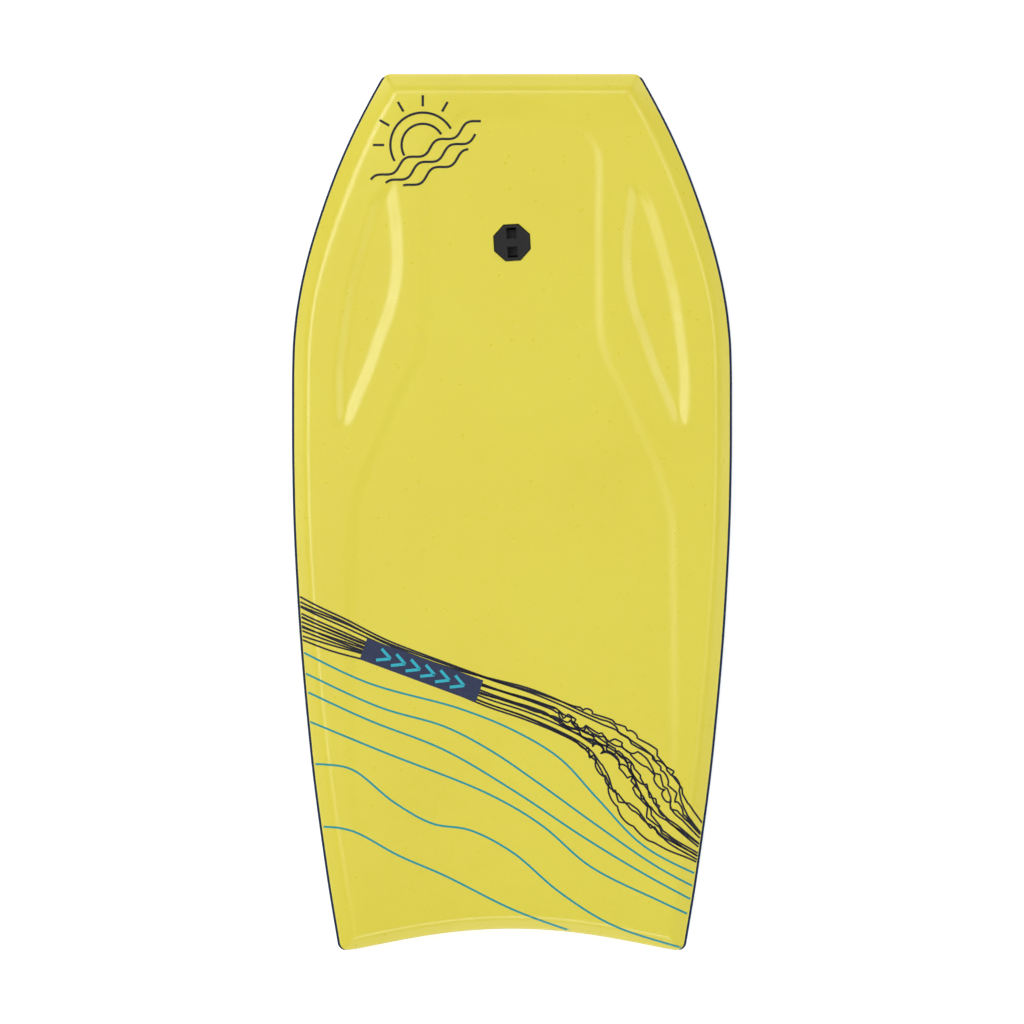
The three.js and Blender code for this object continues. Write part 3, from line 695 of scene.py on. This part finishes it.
# The teal swells, as points on the deck, each read from the left edge to the right.
SWELLS = [
    [(-262, -160), (-171, -203), (-61, -234), (5, -261), (57, -293), (102, -341), (157, -397),
     (250, -445)],
    [(-262, -184), (-157, -232), (-80, -255), (-26, -283), (30, -321), (102, -373), (175, -423),
     (250, -462)],
    [(-262, -205), (-171, -247), (-80, -283), (5, -333), (83, -385), (157, -430), (250, -480)],
    [(-262, -240), (-158, -283), (-26, -336), (35, -372), (93, -421), (175, -462), (250, -496)],
    [(-262, -300), (-222, -300), (-190, -306), (-140, -345), (-95, -370), (-50, -378), (0, -404),
     (57, -452), (120, -491), (215, -522)],
    [(-262, -378), (-224, -374), (-190, -379), (-135, -408), (-80, -432), (5, -474), (100, -508)],
]


def teal_lines():
    """Long swells that run from the left edge down to the right edge and the tail."""
    return [part for points in SWELLS for part in inside_deck(spline(points))]


# The dark bundle's middle line, and its half-width by share of the way along.
BAND = [
    (-275, -115), (-245, -129), (-200, -147), (-120, -179), (-30, -213), (20, -229),
    (65, -248), (105, -270), (137, -300), (160, -332), (186, -365), (224, -398), (270, -432),
]
STRANDS = 13
BAND_HALF = [
    (0, 23), (0.1, 21), (0.22, 15), (0.45, 21), (0.58, 21), (0.68, 29), (0.76, 36), (0.86, 27),
    (0.93, 17), (1, 16),
]


def scallops(run, length, rng, reach):
    """Offsets across and back along a strand: arcs and spikes of uneven pitch and height."""
    across, back = np.zeros_like(run), np.zeros_like(run)
    at = rng.uniform(0, 0.03)
    while at < 1:
        size = rng.uniform(10, 30) / length
        u = (run - at) / size
        on = (u >= 0) & (u < 1)
        height = reach * rng.uniform(0.25, 1.0)
        if rng.random() < 0.55:
            across[on] += height * np.sin(math.pi * u[on]) ** 0.8
            back[on] += 0.35 * height * np.sin(2 * math.pi * u[on])
        else:
            peak = rng.uniform(0.6, 0.95)
            rise, fall = u / peak, (1 - u) / (1 - peak)
            across[on] += height * np.minimum(rise, fall)[on]
        at += size * rng.choice([1.0, 1.0, 1.6])
    return across, back


def dark_lines(rng):
    """A bundle of thin swells that gathers, breaks and falls away to the right."""
    middle = spline(BAND, 1.0)
    step = np.gradient(middle, axis=0)
    step /= np.hypot(*step.T)[:, None]
    across = np.stack([-step[:, 1], step[:, 0]], axis=1)
    run = np.linspace(0, 1, len(middle))
    length = float(len(middle))
    half = along(BAND_HALF, run)
    paths = []
    for k in range(STRANDS):
        place = (k + 0.5) / STRANDS * 2 - 1
        phase, rate = rng.uniform(0, 6.28), rng.uniform(4, 9)
        sway = 0.13 * np.sin(rate * run + phase) + 0.06 * np.sin(2.3 * rate * run + 2 * phase)
        start = rng.uniform(0.5, 0.64)
        churn = smooth(run, start, start + 0.05) * (1 - smooth(run, 0.8, 0.87))
        side = math.copysign(1, place) if abs(place) > 0.5 else rng.choice([-1, 1])
        reach = rng.uniform(4, 8) if abs(place) > 0.75 else rng.uniform(1, 11)
        out, back = scallops(run, length, rng, reach)
        wander = churn * 5 * np.sin(run * rng.uniform(20, 34) + phase)
        offset = (place + sway) * half + churn * side * out + wander * (abs(place) < 0.8)
        paths.append(middle + across * offset[:, None] - step * (churn * back)[:, None])
    return [part for path in paths for part in inside_deck(path)]


LABEL = [(-181, -175), (-43, -226), (-34, -200), (-172, -150)]
SLICK_LABEL = [(-87, -448), (87, -448), (87, -413), (-87, -413)]


def chevrons(corners, count, low, high, lean_share):
    """A row of plain chevrons inside a four-sided label."""
    paths = []
    for k in range(count):
        u = 0.12 + 0.76 * (k + 0.5) / count
        reach = 0.3 / count
        ends = [(u - reach, high), (u + reach, (low + high) / 2), (u - reach, low)]
        points = [along_quad(corners, p + lean_share * (q - 0.5), q) for p, q in ends]
        paths.append(spline(points[:2], 1.0))
        paths.append(spline(points[1:], 1.0))
    return paths


def emblem(centre, turn, size):
    """A plain sun over three swells, in outline."""
    def place(points):
        c, s = math.cos(turn), math.sin(turn)
        p = np.asarray(points, float) * size
        return np.column_stack([p[:, 0] * c - p[:, 1] * s, p[:, 0] * s + p[:, 1] * c]) + centre

    paths = []
    for radius in (0.34, 0.52):
        angles = np.linspace(0.0, math.pi, 60)
        paths.append(place(np.column_stack([radius * np.cos(angles), radius * np.sin(angles)])))
    for ray in np.linspace(0.0, math.pi, 7)[1:-1]:
        ends = np.array([[0.62, 0.62], [0.8, 0.8]]) * [math.cos(ray), math.sin(ray)]
        paths.append(spline(place(ends), 1.0))
    run = np.linspace(-1, 1, 90)
    for level, reach in ((-0.1, 1.0), (-0.28, 0.82), (-0.46, 0.6)):
        swell = 0.055 * np.sin(run * reach * 11 + level * 9)
        paths.append(place(np.column_stack([run * reach, swell + level])))
    return paths


SLICK_STRANDS = 14
SLICK_BAND_FROM = -402
SLICK_BAND_DEPTH = 52
SLICK_BAND_REACH = 250


def slick_strands(rng):
    """The printed band near the tail of the slick: strands that cross at shallow angles."""
    run = np.linspace(-SLICK_BAND_REACH, SLICK_BAND_REACH, 400)
    share = run / SLICK_BAND_REACH
    paths = []
    for k in range(SLICK_STRANDS):
        level = SLICK_BAND_FROM - SLICK_BAND_DEPTH * k / (SLICK_STRANDS - 1)
        tilt, sag = rng.uniform(-6, 6), rng.uniform(-4, 4)
        phase, rate = rng.uniform(0, 6.28), rng.uniform(2.5, 5)
        sway = 1.6 * np.sin(rate * share + phase) + 0.8 * np.sin(2.3 * rate * share + 2 * phase)
        path = level + tilt * share + sag * (1 - share * share) + sway
        if k in (0, 6):
            arches = np.abs(np.sin((run + 130) * math.pi / 36)) ** 0.7
            path = path + 6 * arches * (run < -130) * (1 - 0.6 * (k > 0))
        paths.append(np.column_stack([run, path]))
    return [part for path in paths for part in inside_slick(path)]


CYAN = [
    [(202, -453), (156, -469), (61, -469), (-30, -462), (-115, -463), (-195, -482)],
    [(198, -484), (90, -488), (33, -497), (-34, -486), (-79, -489), (-178, -519)],
    [(194, -504), (145, -510), (110, -517)],
]


def cyan_swells():
    return [part for points in CYAN for part in inside_slick(spline(points))]


def slanted_bars(count, first, last, low, high, slant):
    """A row of plain slanted bars."""
    places = np.linspace(first, last, count)
    return [spline([(x - slant, low), (x + slant, high)], 1.0) for x in places]


# ---- Materials ----


def srgb(r, g, b):
    """Linear colour of an 8-bit sRGB one."""
    def one(v):
        v /= 255
        return v / 12.92 if v <= 0.04045 else ((v + 0.055) / 1.055) ** 2.4

    return (one(r), one(g), one(b), 1.0)


# Sockets of a Mix node that are used when it mixes colours.
MIX_SHARE, MIX_FIRST, MIX_SECOND = 0, 6, 7
MIX_COLOUR = 2


class Look:
    """A Principled material with short helpers for its node tree."""

    def __init__(self, name):
        self.material = bpy.data.materials.new(name)
        self.material.use_nodes = True
        self.tree = self.material.node_tree
        self.shader = self.tree.nodes["Principled BSDF"]
        self.place = self.tree.nodes.new("ShaderNodeTexCoord").outputs["Object"]

    def node(self, kind, **settings):
        made = self.tree.nodes.new(kind)
        for key, value in settings.items():
            setattr(made, key, value)
        return made

    def feed(self, socket, value):
        if isinstance(value, bpy.types.NodeSocket):
            self.tree.links.new(value, socket)
        else:
            socket.default_value = value

    def noise(self, scale, detail=3.0, rough=0.5, stretch=None):
        made = self.node("ShaderNodeTexNoise")
        made.inputs["Scale"].default_value = scale
        made.inputs["Detail"].default_value = detail
        made.inputs["Roughness"].default_value = rough
        place = self.place
        if stretch:
            mapping = self.node("ShaderNodeMapping")
            mapping.inputs["Scale"].default_value = stretch
            self.feed(mapping.inputs["Vector"], place)
            place = mapping.outputs["Vector"]
        self.feed(made.inputs["Vector"], place)
        return made.outputs["Fac"]

    def cells(self, scale):
        made = self.node("ShaderNodeTexVoronoi")
        made.inputs["Scale"].default_value = scale
        self.feed(made.inputs["Vector"], self.place)
        return made.outputs["Distance"]

    def math(self, operation, a, b=0.0, c=0.0):
        made = self.node("ShaderNodeMath", operation=operation)
        for socket, value in zip(made.inputs, (a, b, c), strict=True):
            self.feed(socket, value)
        return made.outputs[0]

    def spread(self, value, low, high, to_low, to_high):
        made = self.node("ShaderNodeMapRange")
        for key, number in (
            ("Value", value), ("From Min", low), ("From Max", high),
            ("To Min", to_low), ("To Max", to_high),
        ):
            self.feed(made.inputs[key], number)
        return made.outputs["Result"]

    def mix(self, share, first, second):
        made = self.node("ShaderNodeMix", data_type="RGBA")
        self.feed(made.inputs[MIX_SHARE], share)
        self.feed(made.inputs[MIX_FIRST], first)
        self.feed(made.inputs[MIX_SECOND], second)
        return made.outputs[MIX_COLOUR]

    def bump(self, height, strength, distance, normal=None):
        made = self.node("ShaderNodeBump")
        made.inputs["Strength"].default_value = strength
        made.inputs["Distance"].default_value = distance
        self.feed(made.inputs["Height"], height)
        if normal:
            self.feed(made.inputs["Normal"], normal)
        return made.outputs["Normal"]

    def set(self, **values):
        for key, value in values.items():
            self.feed(self.shader.inputs[key.replace("_", " ")], value)
        return self.material


def foam_look(name, base, deep, pale, shine=0.6, gloss=0.35, sheen=0.05):
    """Closed-cell foam skin: broad mottling, fine pebble grain, a few scuffs."""
    look = Look(name)
    broad = look.spread(look.noise(5.5, 3.0), 0.3, 0.7, 0.0, 1.0)
    colour = look.mix(broad, deep, base)
    fine = look.spread(look.noise(420.0, 4.0, 0.6), 0.35, 0.7, 0.0, 0.2)
    colour = look.mix(fine, colour, pale)
    scuff = look.spread(look.noise(60.0, 5.0, 0.65, (1.0, 0.14, 1.0)), 0.66, 0.8, 0.0, 0.1)
    colour = look.mix(scuff, colour, pale)
    rough = look.spread(look.noise(90.0, 4.0, 0.6), 0.3, 0.7, gloss - 0.03, gloss + 0.06)
    pebble = look.bump(look.cells(900.0), 0.08, 0.0002)
    normal = look.bump(look.noise(260.0, 4.0, 0.6), 0.12, 0.0003, pebble)
    return look.set(
        Base_Color=colour, Roughness=rough, Normal=normal, Sheen_Weight=sheen,
        Sheen_Roughness=0.45, Specular_IOR_Level=shine,
    )


NET_PITCH = 0.0168
NET_PERIOD = 0.0416
NET_LINE = 0.0008
NET_OVERSHOOT = 1.06
NET_SWAY = 0.25


def slick_look():
    """Glossy film with a dark diamond net showing through it."""
    look = Look("slick_film")
    split = look.node("ShaderNodeSeparateXYZ")
    look.feed(split.inputs[0], look.place)
    x, y = split.outputs[0], split.outputs[1]
    swing = look.math("PINGPONG", y, NET_PERIOD / 2)
    swing = look.math("MULTIPLY_ADD", swing, 4 * NET_OVERSHOOT / NET_PERIOD, -NET_OVERSHOOT)
    swing = look.math("MINIMUM", look.math("MAXIMUM", swing, -1.0), 1.0)
    rounded = look.math("SINE", look.math("MULTIPLY", swing, math.pi / 2))
    sway = look.math("MULTIPLY", look.math("ADD", rounded, swing), NET_SWAY / 2)
    column = look.math("DIVIDE", x, NET_PITCH)

    def strand(shift):
        away = look.math("FRACT", look.math("ADD", look.math("SUBTRACT", column, shift), 100.5))
        away = look.math("ABSOLUTE", look.math("SUBTRACT", away, 0.5))
        return look.math("MULTIPLY", away, NET_PITCH)

    near = look.math(
        "MINIMUM", strand(sway), strand(look.math("SUBTRACT", 0.5, sway))
    )
    thread = look.spread(near, NET_LINE * 0.6, NET_LINE * 1.5, 1.0, 0.0)
    bulge = look.spread(near, 0.0, NET_PITCH * 0.5, 0.0, 1.0)
    broad = look.spread(look.noise(3.2, 2.0), 0.3, 0.7, 0.0, 1.0)
    body = look.mix(broad, srgb(25, 56, 110), srgb(31, 68, 130))
    body = look.mix(look.math("MULTIPLY", bulge, 0.45), body, srgb(37, 80, 148))
    scratch = look.spread(look.noise(30.0, 6.0, 0.7, (1.0, 0.06, 1.0)), 0.68, 0.8, 0.0, 0.25)
    body = look.mix(scratch, body, srgb(56, 98, 156))
    colour = look.mix(thread, body, srgb(12, 12, 26))
    rough = look.spread(look.noise(40.0, 5.0, 0.6), 0.3, 0.7, 0.3, 0.42)
    normal = look.bump(bulge, 0.25, 0.0003, look.bump(look.noise(110.0, 3.0), 0.08, 0.0004))
    return look.set(
        Base_Color=colour, Roughness=rough, Normal=normal, Specular_IOR_Level=0.5,
        Coat_Weight=0.15, Coat_Roughness=0.2,
    )


def plastic_look(name, base, worn, gloss=0.38, shade_from=None):
    """Moulded plastic: fine spark-eroded grain with rubbed patches.
    The last argument is the height above which the piece is painted near-black: painted shade for
    the recess of the screw's slot."""
    look = Look(name)
    patch = look.spread(look.noise(120.0, 4.0, 0.6), 0.4, 0.75, 0.0, 0.6)
    colour = look.mix(patch, base, worn)
    if shade_from is not None:
        split = look.node("ShaderNodeSeparateXYZ")
        look.feed(split.inputs[0], look.place)
        # Painted shade: near-black above the given height, standing in for the shadow inside the
        # screw's slot.
        slot_shade = look.spread(split.outputs[2], shade_from, shade_from + 0.0003, 0.0, 1.0)
        colour = look.mix(slot_shade, colour, srgb(3, 3, 4))
    rough = look.spread(look.noise(300.0, 4.0, 0.6), 0.3, 0.7, gloss - 0.06, gloss + 0.12)
    normal = look.bump(look.noise(1500.0, 3.0, 0.6), 0.2, 0.0002)
    return look.set(Base_Color=colour, Roughness=rough, Normal=normal, Specular_IOR_Level=0.35)


def ink_look(name, base, worn):
    """Screen-printed ink that takes the foam's grain."""
    look = Look(name)
    patch = look.spread(look.noise(180.0, 5.0, 0.65), 0.45, 0.75, 0.0, 0.5)
    colour = look.mix(patch, base, worn)
    rough = look.spread(look.noise(500.0, 3.0), 0.3, 0.7, 0.42, 0.58)
    normal = look.bump(look.noise(260.0, 4.0, 0.6), 0.2, 0.0004)
    return look.set(Base_Color=colour, Roughness=rough, Normal=normal, Specular_IOR_Level=0.35)


def dress(made, material):
    made.data.materials.clear()
    made.data.materials.append(material)


# ---- Build ----

rng = np.random.default_rng(7)
YELLOW = (srgb(225, 212, 53), srgb(221, 206, 44), srgb(229, 218, 76))
NAVY = (srgb(10, 41, 76), srgb(8, 34, 64), srgb(20, 55, 92))

deck_look = foam_look("deck_foam_skin", *YELLOW, shine=0.95, gloss=0.3)
bumper_look = foam_look("bumper_foam_skin", *YELLOW, gloss=0.48)
rail_look = foam_look("rail_foam_skin", *NAVY, shine=0.16, gloss=0.45, sheen=0.0)

deck_piece = deck()
dress(deck_piece, deck_look)
slick_piece = slick()
dress(slick_piece, slick_look())
for side, name in ((-1, "rail_foam_left"), (1, "rail_foam_right")):
    piece = rail(side, name)
    dress(piece, rail_look)
for piece in (nose_band(), tail_band()):
    dress(piece, bumper_look)

ink_teal = ink_look("ink_teal", srgb(8, 146, 154), srgb(22, 152, 150))
ink_mark = ink_look("ink_mark", srgb(40, 172, 192), srgb(56, 172, 180))
ink_dark = ink_look("ink_dark", srgb(16, 18, 36), srgb(26, 28, 42))
ink_label = ink_look("ink_label", srgb(34, 45, 76), srgb(46, 58, 88))
ink_yellow = ink_look("ink_yellow", srgb(224, 212, 94), srgb(212, 200, 96))
ink_cyan = ink_look("ink_cyan", srgb(24, 176, 222), srgb(30, 162, 206))

dress(print_lines("print_swells", teal_lines(), 2.4, deck_z, 1), ink_teal)
dress(print_lines("print_bundle", dark_lines(rng), 2.2, deck_z, 1), ink_dark)
label = add_object("print_label", *patch_sheet(LABEL, deck_z, 1))
dress(label, ink_label)
marks = chevrons(LABEL, 6, 0.22, 0.78, 0.02)
dress(print_lines("print_label_marks", marks, 3.4, over_label, 1), ink_mark)
badge = emblem(np.array([-106.0, 436.0]), math.radians(30), 74)
dress(print_lines("print_emblem", badge, 2.9, deck_z, 1), ink_dark)

band = slick_strands(rng)
dress(print_lines("print_slick_band", band, 2.2, bottom_z, -1), ink_yellow)
dress(print_lines("print_slick_swells", cyan_swells(), 2.8, bottom_z, -1), ink_cyan)
slick_label = add_object("print_slick_label", *patch_sheet(SLICK_LABEL, bottom_z, -1))
dress(slick_label, ink_yellow)
slick_marks = chevrons(SLICK_LABEL, 6, 0.24, 0.76, 0.0)
dress(print_lines("print_slick_label_marks", slick_marks, 3.6, under_label, -1), ink_mark)
slick_badge = emblem(np.array([104.0, 486.0]), 0.0, 23)
slick_badge += slanted_bars(12, 62, -106, 479, 497, -3.0)
dress(print_lines("print_slick_badge", slick_badge, 2.2, bottom_z, -1), ink_yellow)

# ---- CAD pieces that are shown as they are ----


def keep(name, material, bevel):
    piece = nodes[name]
    dress(piece, material)
    piece.data.shade_smooth()
    if bevel:
        modifier = piece.modifiers.new("edges", "BEVEL")
        modifier.width = bevel
        modifier.segments = 2
        modifier.limit_method = "ANGLE"
        modifier.angle_limit = math.radians(SHARP)
        modifier.harden_normals = True


plug_dark = plastic_look("plug_plastic_grain", srgb(9, 9, 10), srgb(20, 20, 21), 0.42)
# The screw is painted near-black above its slot's floor: painted shade in the slot's recess.
face_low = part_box("plug_screw")[0][2]
screw_dark = plastic_look(
    "screw_plastic_grain_slot_shade", srgb(22, 21, 20), srgb(36, 34, 33), 0.3, face_low + SLOT_FLOOR * MM
)
thread_dark = plastic_look("stud_plastic_grain", srgb(24, 23, 22), srgb(40, 38, 37), 0.3)
# The washer's pale grey is partly its own colour and partly a painted highlight: it shows the
# light ring that the screw's rounded rim catches.
washer_grey_rim_highlight = plastic_look("washer_plastic_grain_rim_highlight", srgb(140, 143, 148), srgb(160, 162, 166), 0.35)
keep("plug_cap", plug_dark, 0.0004)
keep("plug_screw", screw_dark, 0.0003)
keep("plug_washer", washer_grey_rim_highlight, 0.0002)
thread = add_object("stud_thread", *helix(), body="screw", angle=SHARP_FINE)
dress(thread, thread_dark)
core_look = foam_look(
    "core_beads", srgb(238, 236, 228), srgb(228, 226, 216), srgb(250, 249, 244), 0.3, 0.7
)
keep("core", core_look, 0.0)
keep("bottom_net", plastic_look("net_strands", srgb(20, 22, 32), srgb(34, 36, 46), 0.6), 0.0)

# ---- Floor and light ----


FLOOR_HALF = 6.0
FLOOR_SEAT = -0.0005
# The dim patch of the floor under the board: half-width, half-length and middle.
SHADE_WIDE = 0.235
SHADE_LONG = 0.5
SHADE_AHEAD = 0.01
SHADE_POWER = 4.0
GLOW_UNDER = 0.12
GLOW = 0.55
WORLD_ABOVE = 0.55
WORLD_BELOW = 0.28
# Name, place, aim, size in metres and watts of each lamp.
LAMPS = [
    ("key", (-1.5, 0.5, 2.9), (0, 0, 0), 1.9, 30),
    ("fill", (1.7, 0.4, 2.8), (0, 0, 0), 1.4, 11),
    ("nose", (0, 1.9, 2.6), (0, 0, 0), 1.3, 9),
    ("tail", (0, -2.6, 2.0), (0, 0, 0), 1.4, 12),
    ("under", (0.8, 0.75, -1.0), (0, 0.1, 0), 0.8, 12),
]


def studio():
    """White paper that glows a little, dimmer where the board covers it. Light from below
    passes it, and so does sight from below."""
    size, seat = FLOOR_HALF, FLOOR_SEAT
    mesh = bpy.data.meshes.new("floor")
    corners = [(-size, -size, seat), (size, -size, seat), (size, size, seat), (-size, size, seat)]
    mesh.from_pydata(corners, [], [(0, 1, 2, 3)])
    floor = bpy.data.objects.new("floor", mesh)
    scene.collection.objects.link(floor)
    look = Look("floor_paper")
    tone = look.spread(look.noise(2.0, 2.0), 0.3, 0.7, 0.0, 1.0)
    split = look.node("ShaderNodeSeparateXYZ")
    look.feed(split.inputs[0], look.place)
    across = look.math("POWER", look.math("DIVIDE", split.outputs[0], SHADE_WIDE), SHADE_POWER)
    ahead = look.math("SUBTRACT", split.outputs[1], SHADE_AHEAD)
    ahead = look.math("POWER", look.math("DIVIDE", ahead, SHADE_LONG), SHADE_POWER)
    reach = look.math("ADD", across, ahead)
    look.set(
        Base_Color=look.mix(tone, srgb(247, 247, 247), srgb(250, 250, 250)),
        Roughness=0.9, Specular_IOR_Level=0.1,
        Emission_Color=(1.0, 1.0, 1.0, 1.0),
        Emission_Strength=look.spread(reach, 0.8, 1.0, GLOW_UNDER, GLOW),
    )
    open_face = look.node("ShaderNodeBsdfTransparent")
    back = look.node("ShaderNodeNewGeometry").outputs["Backfacing"]
    shadow = look.node("ShaderNodeLightPath").outputs["Is Shadow Ray"]
    blend = look.node("ShaderNodeMixShader")
    look.feed(blend.inputs[0], look.math("MAXIMUM", back, shadow))
    look.feed(blend.inputs[1], look.shader.outputs[0])
    look.feed(blend.inputs[2], open_face.outputs[0])
    out = look.tree.nodes["Material Output"]
    look.feed(out.inputs["Surface"], blend.outputs[0])
    dress(floor, look.material)


def lamp(name, place, aim, size, watts):
    data = bpy.data.lights.new(name, "AREA")
    data.shape = "DISK"
    data.size = size
    data.energy = watts
    made = bpy.data.objects.new(name, data)
    scene.collection.objects.link(made)
    made.location = place
    way = np.array(aim, float) - np.array(place, float)
    made.rotation_euler = Vector(way).to_track_quat("-Z", "Y").to_euler()


def lights():
    """Even white surroundings, plain white where the camera sees them, and soft lamps."""
    world = bpy.data.worlds.new("studio")
    world.use_nodes = True
    tree = world.node_tree
    soft = tree.nodes["Background"]
    paper = tree.nodes.new("ShaderNodeBackground")
    for node, strength in ((soft, WORLD_ABOVE), (paper, 1.0)):
        node.inputs["Color"].default_value = (1, 1, 1, 1)
        node.inputs["Strength"].default_value = strength
    way = tree.nodes.new("ShaderNodeTexCoord").outputs["Generated"]
    split = tree.nodes.new("ShaderNodeSeparateXYZ")
    tree.links.new(way, split.inputs[0])
    level = tree.nodes.new("ShaderNodeMapRange")
    for key, number in (
        ("From Min", -0.1), ("From Max", 0.05), ("To Min", WORLD_BELOW), ("To Max", WORLD_ABOVE),
    ):
        level.inputs[key].default_value = number
    tree.links.new(split.outputs[2], level.inputs["Value"])
    tree.links.new(level.outputs["Result"], soft.inputs["Strength"])
    blend = tree.nodes.new("ShaderNodeMixShader")
    seen = tree.nodes.new("ShaderNodeLightPath").outputs["Is Camera Ray"]
    tree.links.new(seen, blend.inputs[0])
    tree.links.new(soft.outputs[0], blend.inputs[1])
    tree.links.new(paper.outputs[0], blend.inputs[2])
    tree.links.new(blend.outputs[0], tree.nodes["World Output"].inputs["Surface"])
    scene.world = world
    for row in LAMPS:
        lamp(*row)


studio()
lights()
scene.view_settings.view_transform = "Standard"
scene.view_settings.look = "None"
